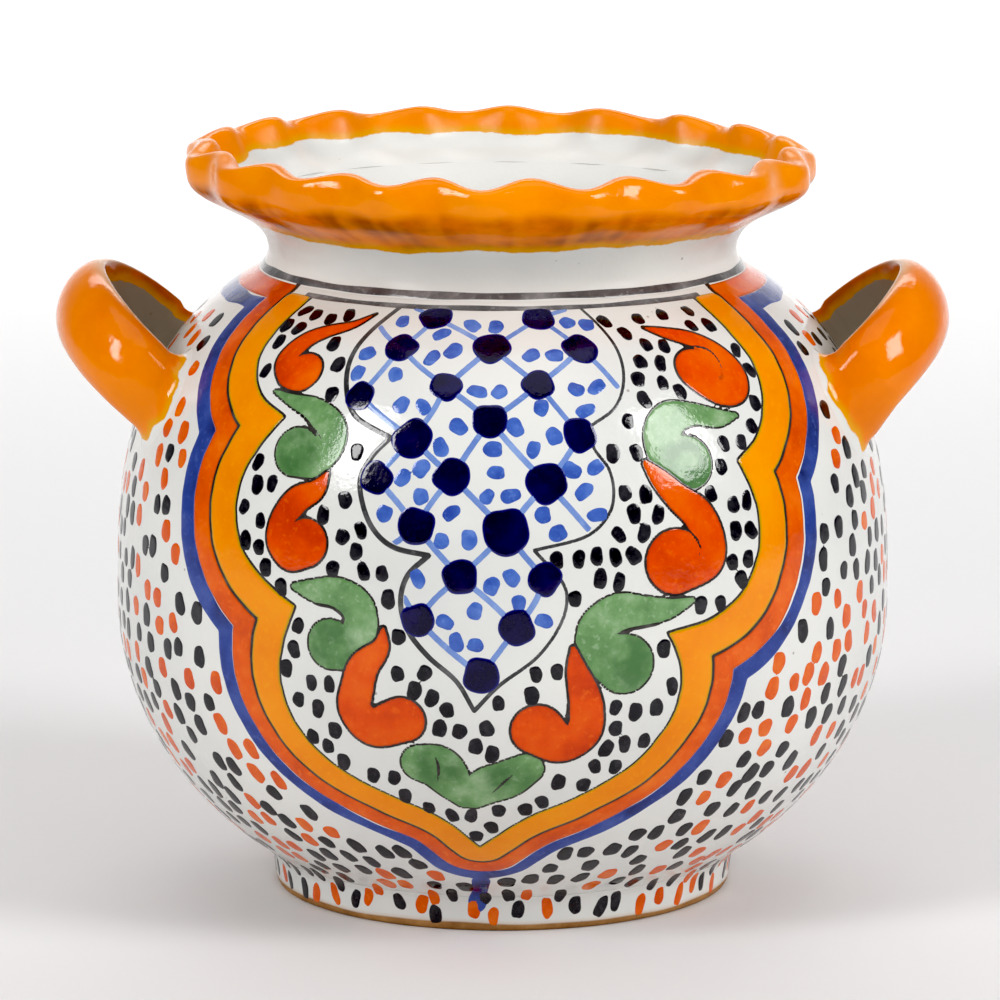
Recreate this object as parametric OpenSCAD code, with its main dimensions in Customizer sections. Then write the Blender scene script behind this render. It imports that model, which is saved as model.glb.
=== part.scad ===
// Talavera vase: a thrown round belly on a foot ring, a short neck collar,
// a flared lip pinched into ruffles, and two strap handles luted to the shoulder.
// Millimetres. The origin is on the table at the centre of the foot. +Z is up,
// the handles stand out along X, and the painted front faces -Y.

/* [Belly] */
// Diameter of the belly at its widest line
belly_d = 200.4; // [180:0.2:245]
// Height of the widest line above the table
belly_line_h = 76; // [63:1:92]
// Height of the shoulder line, where the neck is luted on
shoulder_h = 162; // [140:1:196]
// Fullness of the curve below the widest line (2 is an ellipse)
low_fullness = 2; // [1.8:0.1:2.6]
// Fullness of the curve above the widest line (2 is an ellipse)
top_fullness = 2.8; // [2.2:0.1:3.2]
// Thickness of the thrown wall
wall = 6; // [4.5:0.5:9]
// Thickness of the floor
floor_t = 7; // [5:0.5:12]

/* [Foot] */
// Outer diameter of the foot where it meets the belly
foot_d = 121; // [100:0.2:146]
// Height of the outer edge of the foot
foot_h = 9.6; // [8:0.2:12]
// Width of the foot ring
foot_w = 8.5; // [6:0.5:12]
// How far the foot draws in towards the table
foot_taper = 1.2; // [0:0.1:3]
// Width of the rounded edge that touches the table
foot_edge = 1; // [0.5:0.1:2]

/* [Neck and lip] */
// Outer diameter of the neck at its narrowest
neck_d = 120.8; // [100:0.2:146]
// Height of the narrowest line above the shoulder line
neck_waist_h = 4.5; // [3:0.5:6]
// How far the neck spreads at the shoulder line
neck_spread = 1.4; // [1:0.1:3]
// Thickness of the neck and flare wall
neck_wall = 6.2; // [4.5:0.1:7.5]
// Mean outer diameter of the lip
lip_d = 161; // [150:1:195]
// Height of the lip's widest line above the narrowest line of the neck
lip_rise = 20.1; // [17:0.1:25]
// Height of the rolled lip above its widest line
lip_crest = 6.6; // [5:0.2:9]
// Thickness of the rolled lip
lip_t = 9.6; // [8:0.2:12]
// How far the lip sits to the left of the axis
lip_offset = 1; // [0:0.1:2]
// How far the lip tips up on the left, in degrees
lip_tilt = 0.5; // [0:0.1:1]

/* [Ruffles] */
// Number of finger-pinched ruffles
ruffles = 19; // [12:1:22]
// How far a ruffle moves in and out from the mean line
ruffle_in_out = 1.9; // [0:0.1:3]
// How far a ruffle moves up and down from the mean line
ruffle_up_down = 1.1; // [0:0.1:2]
// Angle of the first ruffle from the front
ruffle_turn = 6.8; // [0:0.1:19]

/* [Handles] */
// Height of the handle roots below the shoulder line
handle_drop = 29.5; // [24:0.5:36]
// Distance that a loop stands out from its roots
handle_reach = 22.2; // [18:0.1:30]
// Distance that a loop climbs from its roots
handle_rise = 19; // [12:0.5:26]
// Half the distance between the two arms of a loop
handle_spread = 27; // [22:0.5:34]
// Width of the strap at the top of the loop
strap_w = 22.5; // [18:0.5:28]
// Width of the strap at its roots
root_w = 19; // [16:0.5:26]
// Thickness of the strap at its middle
strap_t = 8.5; // [6.5:0.5:11]
// Thickness of the strap at its edges
strap_edge = 2.5; // [1.5:0.5:4]
// Extra clay drawn down the belly under the left handle
left_tail = 1.5; // [0:0.5:10]
// Extra clay drawn down the belly under the right handle
right_tail = 4; // [0:0.5:10]

/* [Hidden] */

glaze_white = "ivory";
glaze_orange = "orange";
bare_clay = "peru";

// Steps of the drawn curves
curve_steps = 22;
flare_steps = 7;
lip_steps = 4;
wave_steps = 10;
loop_steps = 34;
section_steps = 18;

belly_r = belly_d / 2;
foot_r = foot_d / 2;
foot_in_r = foot_r - foot_w;
neck_r = neck_d / 2;
neck_base_r = neck_r + neck_spread;
neck_waist_z = shoulder_h + neck_waist_h;
lip_r = lip_d / 2;
lip_z = neck_waist_z + lip_rise;
crest_z = lip_z + lip_crest;
crest_r = lip_r - lip_t * 0.42;

// Share of the flare that belongs to the neck collar
collar_share = 0.35;
// Straightness of the flare's two ends, as shares of its height
flare_lift = 0.59;
flare_turn = 0.4;

// Half height of a full curve of half width r_max that passes r_end at a height h from its middle
function curve_depth(r_max, r_end, h, n) = h / pow(1 - pow(r_end / r_max, n), 1 / n);

// Half width at a height h from the middle, and height at a half width r
function curve_r(r_max, depth, h, n) = r_max * pow(max(0, 1 - pow(abs(h) / depth, n)), 1 / n);
function curve_h(r_max, depth, r, n) = depth * pow(1 - pow(r / r_max, n), 1 / n);

// Outer skin of the belly
low_depth = curve_depth(belly_r, foot_r, belly_line_h - foot_h, low_fullness);
top_depth = curve_depth(belly_r, neck_base_r, shoulder_h - belly_line_h, top_fullness);
underside_z = belly_line_h - curve_h(belly_r, low_depth, foot_in_r, low_fullness);

function skin_r(z) = z < belly_line_h
    ? curve_r(belly_r, low_depth, belly_line_h - z, low_fullness)
    : curve_r(belly_r, top_depth, z - belly_line_h, top_fullness);

// Inner skin of the belly
inner_r = belly_r - wall;
inner_low_depth = low_depth - wall;
inner_top_r = neck_base_r - neck_wall;
inner_top_depth = curve_depth(inner_r, inner_top_r, shoulder_h - belly_line_h, top_fullness);
floor_z = underside_z + floor_t;

function inner_skin_r(z) = z < belly_line_h
    ? curve_r(inner_r, inner_low_depth, belly_line_h - z, low_fullness)
    : curve_r(inner_r, inner_top_depth, z - belly_line_h, top_fullness);

// Heights between two levels, closer together at both ends
function levels(z0, z1, n) = [for (i = [0 : n]) z0 + (z1 - z0) * (1 - cos(180 * i / n)) / 2];

foot_join = [for (z = levels(underside_z, foot_h, 5)) [skin_r(z), z]];
skin_up = [for (z = levels(foot_h, shoulder_h, curve_steps)) [skin_r(z), z]];
inner_down = [for (z = levels(shoulder_h, floor_z, curve_steps)) [inner_skin_r(z), z]];

// A point of a cubic curve, and its direction
function bend(a, b, c, d, t) =
    a * pow(1 - t, 3) + 3 * b * t * pow(1 - t, 2) + 3 * c * t * t * (1 - t) + d * pow(t, 3);
function bend_dir(a, b, c, d, t) =
    3 * (b - a) * pow(1 - t, 2) + 6 * (c - b) * t * (1 - t) + 3 * (d - c) * t * t;

// Outside of the neck and flare, from the waist of the neck to the widest line of the lip
waist_pt = [neck_r, neck_waist_z];
waist_up = waist_pt + [0, lip_rise * flare_lift];
lip_pt = [lip_r, lip_z];
lip_down = lip_pt - [0, lip_rise * flare_turn];
function flare(t) = bend(waist_pt, waist_up, lip_down, lip_pt, t);
function flare_dir(t) = bend_dir(waist_pt, waist_up, lip_down, lip_pt, t);
function flare_inner(t) = let (d = flare_dir(t)) flare(t) + neck_wall * [-d[1], d[0]] / norm(d);

// Neck collar section: the outer curve up and the inner curve down
collar_base = [neck_base_r, shoulder_h];
collar_outer = [for (i = [0 : flare_steps]) flare(collar_share * i / flare_steps)];
collar_inner = [for (i = [flare_steps : -1 : 0]) flare_inner(collar_share * i / flare_steps)];
collar_inner_base = [inner_top_r, shoulder_h];

// Lip section above the collar, closed over a thick rolled edge
crest_pt = [crest_r, crest_z];
inner_lip_pt = [lip_r - lip_t, lip_z - 0.6];
inner_join = flare_inner(collar_share);
inner_dir = flare_dir(collar_share) / norm(flare_dir(collar_share));
function lip_roll(t) =
    bend(lip_pt, lip_pt + [0, lip_crest * 0.55], crest_pt + [lip_t * 0.2, 0], crest_pt, t);
function lip_inside(t) =
    bend(crest_pt, crest_pt - [lip_t * 0.3, 0], inner_lip_pt + [lip_t * 0.18, lip_crest * 0.5], inner_lip_pt, t);
function throat(t) =
    bend(inner_lip_pt, inner_lip_pt - [1.8, 3], inner_join + 4 * inner_dir, inner_join, t);
lip_section = concat(
    [for (i = [0 : flare_steps]) flare(collar_share + (1 - collar_share) * i / flare_steps)],
    [for (i = [1 : lip_steps]) lip_roll(i / lip_steps)],
    [for (i = [1 : lip_steps]) lip_inside(i / lip_steps)],
    [for (i = [1 : lip_steps]) throat(i / lip_steps)]);

// A ruffle leans in and stands up, or leans out and droops, more so nearer the crest
ruffle_base_z = flare(collar_share)[1] + 1;
function ruffle_share(z) = pow(max(0, min(1, (z - ruffle_base_z) / (crest_z - ruffle_base_z))), 1.3);
function ruffled(p, a) =
    let (share = ruffle_share(p[1]), w = share * cos(ruffles * (a + 90 - ruffle_turn)))
    let (r = p[0] - ruffle_in_out * w, up = p[1] + ruffle_up_down * w)
    [r * cos(a) - lip_offset * share, r * sin(a), up - share * r * cos(a) * sin(lip_tilt)];

// Faces that join a closed row of rings, with or without end caps
function tube_faces(rings, around, closed) = concat(
    [for (i = [0 : rings - (closed ? 1 : 2)], j = [0 : around - 1], half = [0, 1])
        let (a = i * around, b = (i + 1) % rings * around, k = (j + 1) % around)
        half == 0 ? [a + j, b + j, b + k] : [a + j, b + k, a + k]],
    closed ? [] : [[for (j = [0 : around - 1]) j]],
    closed ? [] : [[for (j = [around - 1 : -1 : 0]) (rings - 1) * around + j]]);

// Handle: the middle line of the strap's inner face
root_z = shoulder_h - handle_drop;
root_sink = 3.2;
root_x = sqrt(pow(skin_r(root_z), 2) - pow(handle_spread, 2)) - root_sink;
root_run = 8;
arm_bulge = 0.4;
arm_squareness = 0.85;
handle_lean = 0.06;
strap_lean_root = 34;
strap_lean_top = 24;
loop_dir = [handle_reach, 0, handle_rise] / norm([handle_reach, 0, handle_rise]);

function lift(a) = pow(max(0, cos(a)), arm_squareness);
function loop_pt(a) =
    let (l = lift(a), y = handle_spread * sin(a) * (1 + arm_bulge * l * (1 - l)))
    [root_x + handle_reach * l, y, root_z + handle_rise * l + handle_lean * y];
function unit(v) = v / norm(v);
function loop_tangent(a) = abs(a) > 89 ? -sign(a) * loop_dir : unit(loop_pt(a + 0.5) - loop_pt(a - 0.5));
function strap_across(a) =
    let (t = loop_tangent(a), s = strap_lean_root + (strap_lean_top - strap_lean_root) * lift(a))
    let (w = [-sin(s), 0, cos(s)])
    unit(w - (w * t) * t);

// One ring of the strap: a rounded D, flat towards the belly and full outside
function strap_ring(a, shift, tail) =
    let (l = lift(a), t = loop_tangent(a), w = strap_across(a), n = cross(t, w))
    let (draw = pow(1 - l, 3) * tail, width = strap_w * l + root_w * (1 - l))
    [for (k = [0 : section_steps - 1])
        let (s = 360 * k / section_steps, u = cos(s), side = sin(s))
        let (across = u * width / 2 - (u < 0 ? -u * draw : 0))
        let (out = side > 0
            ? strap_edge / 2 + (strap_t - strap_edge / 2) * pow(side, 1.1)
            : strap_edge / 2 * (1 - pow(-side, 0.6)))
        loop_pt(a) + shift * loop_dir + across * w + out * n];

module strap(tail) {
    rings = concat(
        [strap_ring(-90, -root_run, tail)],
        [for (i = [0 : loop_steps]) strap_ring(-90 + 180 * i / loop_steps, 0, tail)],
        [strap_ring(90, -root_run, tail)]);
    points = [for (ring = rings, p = ring) p];
    polyhedron(points, tube_faces(len(rings), section_steps, false), convexity = 6);
}

// The belly as one solid piece, used to shape what is luted onto it
module belly_form() {
    rotate_extrude($fn = 180) polygon(concat([[0, foot_h]], skin_up, [[0, shoulder_h]]));
}

module foot_ring() {
    color(bare_clay) rotate_extrude($fn = 180) polygon(concat(
        [[foot_in_r, foot_edge]],
        [[foot_in_r + foot_edge, 0]],
        [[foot_r - foot_taper - foot_edge, 0]],
        [[foot_r - foot_taper, foot_edge]],
        [for (i = [len(foot_join) - 1 : -1 : 0]) foot_join[i]]));
}

module belly() {
    color(glaze_white) rotate_extrude($fn = 180) polygon(concat(
        [[0, underside_z]],
        [for (i = [0 : len(foot_join) - 2]) foot_join[i]],
        skin_up,
        inner_down,
        [[0, floor_z]]));
}

module neck_collar() {
    color(glaze_white) rotate_extrude($fn = 180) polygon(concat(
        [collar_base],
        collar_outer,
        collar_inner,
        [collar_inner_base]));
}

module ruffled_rim() {
    around = len(lip_section);
    columns = ruffles * wave_steps;
    points = [for (i = [0 : columns - 1], p = lip_section) ruffled(p, 360 * i / columns)];
    color(glaze_orange) polyhedron(points, tube_faces(columns, around, true), convexity = 6);
}

module left_handle() {
    color(glaze_orange) difference() {
        mirror([1, 0, 0]) strap(left_tail);
        belly_form();
    }
}

module right_handle() {
    color(glaze_orange) difference() {
        strap(right_tail);
        belly_form();
    }
}

foot_ring();
belly();
neck_collar();
ruffled_rim();
left_handle();
right_handle();
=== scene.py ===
"""Looks of a talavera vase: glazed clay pieces, and the painted decoration as thin films of glaze on them.

Lengths in the functions are millimetres, angles on the vase are degrees round the axis from the front.
"""
import math
import random

import bpy
import numpy as np
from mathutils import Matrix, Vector


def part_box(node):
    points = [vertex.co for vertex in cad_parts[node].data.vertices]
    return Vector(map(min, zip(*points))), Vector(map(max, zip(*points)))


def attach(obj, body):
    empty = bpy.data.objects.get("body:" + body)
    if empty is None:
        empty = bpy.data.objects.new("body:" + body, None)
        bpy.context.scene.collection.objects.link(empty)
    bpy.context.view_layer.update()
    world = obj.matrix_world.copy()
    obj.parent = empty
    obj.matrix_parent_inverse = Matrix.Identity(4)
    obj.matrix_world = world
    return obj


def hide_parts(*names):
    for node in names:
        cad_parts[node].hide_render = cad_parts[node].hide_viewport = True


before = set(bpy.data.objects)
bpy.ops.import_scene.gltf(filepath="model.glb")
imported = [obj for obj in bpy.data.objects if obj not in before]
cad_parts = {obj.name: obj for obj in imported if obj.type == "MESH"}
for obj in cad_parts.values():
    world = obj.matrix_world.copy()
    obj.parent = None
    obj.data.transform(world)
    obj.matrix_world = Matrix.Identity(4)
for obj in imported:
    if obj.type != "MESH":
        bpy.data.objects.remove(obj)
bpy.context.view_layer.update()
MM = 1000.0


def box_mm(node):
    low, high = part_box(node)
    return np.array(low) * MM, np.array(high) * MM


# ---- Sizes that the looks share with the pieces they stand for
# FILM_ROOM leaves space for the paint. LOW_N and TOP_N say how full the belly is below and above LINE_Z.
FILM_ROOM = 0.2
FOOT_R = box_mm("foot_ring")[1][1] - FILM_ROOM
FOOT_H = box_mm("foot_ring")[1][2]
FOOT_W = 8.5
FOOT_TAPER = 1.2
BELLY_R = box_mm("belly")[1][1] - FILM_ROOM
SHOULDER_Z = box_mm("belly")[1][2]
LINE_Z = 76.0
LOW_N, TOP_N = 2.0, 2.8
WALL, FLOOR_T = 6.0, 7.0
NECK_R, NECK_SPREAD, NECK_WALL = 60.3, 1.4, 6.0
WAIST_Z = SHOULDER_Z + 4.5
LIP_R, LIP_RISE, LIP_CREST, LIP_T = 80.4, 20.1, 6.6, 9.4
LIP_Z = WAIST_Z + LIP_RISE
CREST_Z = LIP_Z + LIP_CREST
CREST_R = LIP_R - LIP_T * 0.42
TOP_Z = box_mm("ruffled_rim")[1][2] - 0.05
COLLAR_SHARE, FLARE_LIFT, FLARE_TURN = 0.35, 0.59, 0.4
RUFFLES, RUFFLE_IN, RUFFLE_UP, RUFFLE_TURN = 19, 1.9, 1.1, 6.8
LIP_OFFSET, LIP_TILT = 1.0, math.radians(0.5)
NECK_BASE_R = NECK_R + NECK_SPREAD


# ---- Small tools
def mix(a, b, t):
    return a + (b - a) * t


def smooth(x, lo, hi):
    t = np.clip((np.asarray(x, float) - lo) / (hi - lo), 0.0, 1.0)
    return t * t * (3 - 2 * t)


def bend(a, b, c, d, t):
    """Points of a cubic curve at the shares t."""
    a, b, c, d = (np.asarray(p, float) for p in (a, b, c, d))
    t = np.asarray(t, float)[:, None]
    return a * (1 - t) ** 3 + 3 * b * t * (1 - t) ** 2 + 3 * c * t * t * (1 - t) + d * t ** 3


def bend_dir(a, b, c, d, t):
    a, b, c, d = (np.asarray(p, float) for p in (a, b, c, d))
    t = np.asarray(t, float)[:, None]
    return 3 * (b - a) * (1 - t) ** 2 + 6 * (c - b) * t * (1 - t) + 3 * (d - c) * t * t


def arc3(a, b, c, n):
    """A soft corner from a to c, drawn towards b."""
    t = np.linspace(0, 1, n)[:, None]
    a, b, c = (np.asarray(p, float) for p in (a, b, c))
    return a * (1 - t) ** 2 + 2 * b * t * (1 - t) + c * t * t


def curve_depth(r_max, r_end, h, n):
    """Depth of a superellipse of radius r_max that has narrowed to r_end at h."""
    return h / (1 - (r_end / r_max) ** n) ** (1 / n)


def curve_r(r_max, depth, h, n):
    """Radius of that superellipse at h."""
    return r_max * np.maximum(0, 1 - (np.abs(h) / depth) ** n) ** (1 / n)


LOW_DEPTH = curve_depth(BELLY_R, FOOT_R, LINE_Z - FOOT_H, LOW_N)
TOP_DEPTH = curve_depth(BELLY_R, NECK_BASE_R, SHOULDER_Z - LINE_Z, TOP_N)


def skin_r(z):
    """Radius of the belly's outside at a height."""
    z = np.asarray(z, float)
    low = curve_r(BELLY_R, LOW_DEPTH, LINE_Z - z, LOW_N)
    return np.where(z < LINE_Z, low, curve_r(BELLY_R, TOP_DEPTH, z - LINE_Z, TOP_N))


INNER_R = BELLY_R - WALL
INNER_TOP_DEPTH = curve_depth(INNER_R, NECK_BASE_R - NECK_WALL, SHOULDER_Z - LINE_Z, TOP_N)


def inner_skin_r(z):
    """Radius of the belly's inside at a height."""
    z = np.asarray(z, float)
    low = curve_r(INNER_R, LOW_DEPTH - WALL, LINE_Z - z, LOW_N)
    return np.where(z < LINE_Z, low, curve_r(INNER_R, INNER_TOP_DEPTH, z - LINE_Z, TOP_N))


def under_z(r):
    """Height of the belly's underside at a radius."""
    return LINE_Z - math.sqrt(max(0.0, 1 - (r / BELLY_R) ** 2)) * LOW_DEPTH


def spaced(points, step):
    """The polyline with points about a step apart."""
    points = np.asarray(points, float)
    along = np.concatenate([[0], np.cumsum(np.linalg.norm(np.diff(points, axis=0), axis=1))])
    n = max(2, int(round(along[-1] / step)) + 1)
    at = np.linspace(0, along[-1], n)
    return np.stack([np.interp(at, along, points[:, k]) for k in range(points.shape[1])], 1)


# ---- The outer outline, from the foot's edge to the collar's top, as (radius, height)
FLARE_PTS = ((NECK_R, WAIST_Z), (NECK_R, WAIST_Z + LIP_RISE * FLARE_LIFT),
             (LIP_R, LIP_Z - LIP_RISE * FLARE_TURN), (LIP_R, LIP_Z))


def outer_outline():
    """Foot wall, belly, waist of the neck and start of the flare, joined by soft corners."""
    foot_edge = (FOOT_R - FOOT_TAPER, 1.0)
    wall_top = (FOOT_R - 0.3, 7.6)
    belly_start, belly_end = 12.6, SHOULDER_Z - 2.0
    waist = (NECK_R, WAIST_Z)
    heights = LINE_Z + np.concatenate([
        -(LINE_Z - belly_start) * np.cos(np.linspace(0, math.pi / 2, 160)),
        (belly_end - LINE_Z) * np.sin(np.linspace(0, math.pi / 2, 200))[1:]])
    skin = np.stack([skin_r(heights), heights], 1)
    into_belly = arc3(wall_top, (FOOT_R + 0.6, 10.0), skin[0], 14)
    into_neck = arc3(skin[-1], (NECK_BASE_R - 0.6, SHOULDER_Z + 0.3), waist, 18)
    collar = bend(*FLARE_PTS, np.linspace(0, COLLAR_SHARE, 16))
    return np.concatenate([[foot_edge], into_belly, skin[1:], into_neck[1:], collar[1:]])


OUTLINE = spaced(outer_outline(), 0.25)
PATH = np.concatenate([[0], np.cumsum(np.linalg.norm(np.diff(OUTLINE, axis=0), axis=1))])


def outline_normals(points):
    d = np.gradient(points, axis=0)
    n = np.stack([d[:, 1], -d[:, 0]], 1)
    return n / np.linalg.norm(n, axis=1)[:, None]


OUTLINE_N = outline_normals(OUTLINE)


def path_at(z):
    """Length along the outline at a height."""
    return np.interp(z, OUTLINE[:, 1], PATH)


# ---- Mesh helpers
def new_object(name, verts, faces, material, attributes=None, normals=None):
    mesh = bpy.data.meshes.new(name)
    faces = faces if isinstance(faces, list) else faces.tolist()
    mesh.from_pydata((np.asarray(verts, float) / MM).tolist(), [], faces)
    for key, values in (attributes or {}).items():
        layer = mesh.attributes.new(key, "FLOAT", "POINT")
        layer.data.foreach_set("value", np.asarray(values, np.float32))
    mesh.shade_smooth()
    if normals is not None:
        mesh.normals_split_custom_set_from_vertices(np.asarray(normals, float).tolist())
    mesh.materials.append(material)
    obj = bpy.data.objects.new(name, mesh)
    bpy.context.scene.collection.objects.link(obj)
    return obj


def revolve(name, profile, columns, material, attribute=None):
    """A closed profile of (radius, height), turned round the axis, with its own smooth normals."""
    profile = np.asarray(profile, float)
    n = len(profile)
    a = np.radians(np.arange(columns) * 360.0 / columns)
    r, z = profile[:, 0], profile[:, 1]
    verts = np.stack([np.outer(np.sin(a), r), -np.outer(np.cos(a), r), np.tile(z, (columns, 1))], 2)
    ring = np.concatenate([profile[-1:], profile, profile[:1]])
    before, after = ring[1:-1] - ring[:-2], ring[2:] - ring[1:-1]
    unit = [d / np.maximum(np.linalg.norm(d, axis=1), 1e-9)[:, None] for d in (before, after)]
    d = unit[0] + unit[1]
    nr, nz = d[:, 1], -d[:, 0]
    size = np.maximum(np.hypot(nr, nz), 1e-9)
    nr, nz = nr / size, nz / size
    normals = np.stack([np.outer(np.sin(a), nr), -np.outer(np.cos(a), nr), np.tile(nz, (columns, 1))], 2)
    faces = []
    for i in range(columns):
        j = (i + 1) % columns
        for k in range(n):
            m = (k + 1) % n
            if r[k] < 1e-6 and r[m] < 1e-6:
                continue
            faces.append((i * n + k, j * n + k, j * n + m, i * n + m))
    values = None
    if attribute is not None:
        angle = np.degrees(np.repeat(a, n))
        values = attribute(angle, np.tile(r, columns), np.tile(z, columns), np.tile(np.arange(n), columns))
    return new_object(name, verts.reshape(-1, 3), faces, material, values, normals.reshape(-1, 3))


# ---- Materials
def shader(name):
    material = bpy.data.materials.new(name)
    material.use_nodes = True
    tree = material.node_tree
    return material, tree, tree.nodes["Principled BSDF"]


def node(tree, kind, **inputs):
    made = tree.nodes.new(kind)
    for key, value in inputs.items():
        if key in made.inputs:
            made.inputs[key].default_value = value
        else:
            setattr(made, key, value)
    return made


def object_place(tree):
    return node(tree, "ShaderNodeTexCoord").outputs["Object"]


def noise(tree, place, scale, detail=3.0, rough=0.55):
    made = node(tree, "ShaderNodeTexNoise", Scale=scale, Detail=detail, Roughness=rough)
    tree.links.new(place, made.inputs["Vector"])
    return made.outputs["Fac"]


def ramp(tree, value, stops):
    made = tree.nodes.new("ShaderNodeValToRGB")
    while len(made.color_ramp.elements) < len(stops):
        made.color_ramp.elements.new(0.5)
    for element, (at, colour) in zip(made.color_ramp.elements, stops):
        element.position = at
        element.color = (*colour, 1.0)
    tree.links.new(value, made.inputs["Fac"])
    return made.outputs["Color"]


def level(tree, value, lo, hi, to_lo=0.0, to_hi=1.0):
    made = tree.nodes.new("ShaderNodeMapRange")
    made.interpolation_type = "SMOOTHSTEP"
    for key, number in (("From Min", lo), ("From Max", hi), ("To Min", to_lo), ("To Max", to_hi)):
        made.inputs[key].default_value = number
    tree.links.new(value, made.inputs["Value"])
    return made.outputs["Result"]


def math_node(tree, what, a, b):
    made = tree.nodes.new("ShaderNodeMath")
    made.operation = what
    for socket, value in zip(made.inputs, (a, b)):
        if isinstance(value, (int, float)):
            socket.default_value = value
        else:
            tree.links.new(value, socket)
    return made.outputs[0]


def blend_colour(tree, factor, a, b):
    made = tree.nodes.new("ShaderNodeMix")
    made.data_type = "RGBA"
    for key, value in ((0, factor), (6, a), (7, b)):
        socket = made.inputs[key]
        if isinstance(value, (int, float)):
            socket.default_value = value
        elif isinstance(value, tuple):
            socket.default_value = (*value, 1.0)
        else:
            tree.links.new(value, socket)
    return made.outputs[2]


def attribute(tree, name):
    made = tree.nodes.new("ShaderNodeAttribute")
    made.attribute_name = name
    return made.outputs["Fac"]


def glaze_surface(tree, principled, place, gloss=0.1, waves=0.35):
    """The same clear glaze over everything: slow waves, fine orange peel, small pits."""
    bumps = ((42.0, waves, 0.0012), (190.0, 0.22, 0.0005), (900.0, 0.2, 0.00022))
    normal = None
    for scale, strength, distance in bumps:
        bump = node(tree, "ShaderNodeBump", Strength=strength, Distance=distance)
        tree.links.new(noise(tree, place, scale, 2.0), bump.inputs["Height"])
        if normal is not None:
            tree.links.new(normal, bump.inputs["Normal"])
        normal = bump.outputs["Normal"]
    tree.links.new(normal, principled.inputs["Normal"])
    rough = level(tree, noise(tree, place, 260.0, 3.0), 0.3, 0.75, gloss * 0.75, gloss * 1.8)
    tree.links.new(rough, principled.inputs["Roughness"])
    principled.inputs["IOR"].default_value = 1.5


def white_colour(tree, place):
    """Tin white with faint grey clouds and a few specks."""
    clouds = ramp(tree, noise(tree, place, 24.0), [(0.3, (0.755, 0.762, 0.74)), (0.7, (0.835, 0.835, 0.80))])
    speck = node(tree, "ShaderNodeTexVoronoi", Scale=210.0, Randomness=1.0)
    tree.links.new(place, speck.inputs["Vector"])
    near = level(tree, speck.outputs["Distance"], 0.05, 0.11, 1.0, 0.0)
    rare = level(tree, noise(tree, place, 95.0, 0.0), 0.66, 0.70)
    spots = math_node(tree, "MULTIPLY", math_node(tree, "MULTIPLY", near, rare), 0.55)
    return blend_colour(tree, spots, clouds, (0.16, 0.10, 0.06))


def white_glaze():
    material, tree, principled = shader("white_glaze")
    place = object_place(tree)
    tree.links.new(white_colour(tree, place), principled.inputs["Base Color"])
    glaze_surface(tree, principled, place)
    return material


def foot_glaze():
    """White glaze that stops short of the bottom, where the clay is bare."""
    material, tree, principled = shader("foot_glaze")
    place = object_place(tree)
    bare = level(tree, attribute(tree, "bare"), -0.25, 0.25)
    thin = level(tree, attribute(tree, "bare"), -1.3, 0.0, 0.0, 0.35)
    grit = noise(tree, place, 130.0, 6.0, 0.7)
    clay = ramp(tree, grit, [(0.3, (0.26, 0.115, 0.035)), (0.7, (0.47, 0.25, 0.09))])
    warm = blend_colour(tree, thin, white_colour(tree, place), (0.55, 0.36, 0.2))
    tree.links.new(blend_colour(tree, bare, warm, clay), principled.inputs["Base Color"])
    glaze_surface(tree, principled, place)
    dull = math_node(tree, "MULTIPLY", bare, 0.6)
    tree.links.new(math_node(tree, "ADD", dull, 0.12), principled.inputs["Roughness"])
    return material


def pigment(name, thin, body, thick, grain=70.0, edge=None, edge_mm=0.9, edge_share=0.8):
    """Painted colour under the clear glaze: streaks of thin and thick pigment, and a tinted edge."""
    material, tree, principled = shader(name)
    place = object_place(tree)
    cloud = noise(tree, place, grain, 5.0, 0.6)
    colour = ramp(tree, cloud, [(0.26, thick), (0.5, body), (0.76, thin)])
    fleck = level(tree, noise(tree, place, 620.0, 2.0), 0.56, 0.72, 0.0, 0.42)
    colour = blend_colour(tree, fleck, colour, thin)
    if edge is not None:
        rim = level(tree, attribute(tree, "inset"), 0.05, edge_mm, edge_share, 0.0)
        colour = blend_colour(tree, rim, colour, edge)
    mottled = level(tree, noise(tree, place, 170.0, 4.0), 0.34, 0.62, 0.3, 0.9)
    pool = math_node(tree, "MULTIPLY", attribute(tree, "pool"), mottled)
    colour = blend_colour(tree, pool, colour, thick)
    tree.links.new(colour, principled.inputs["Base Color"])
    glaze_surface(tree, principled, place, 0.09)
    return material


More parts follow.
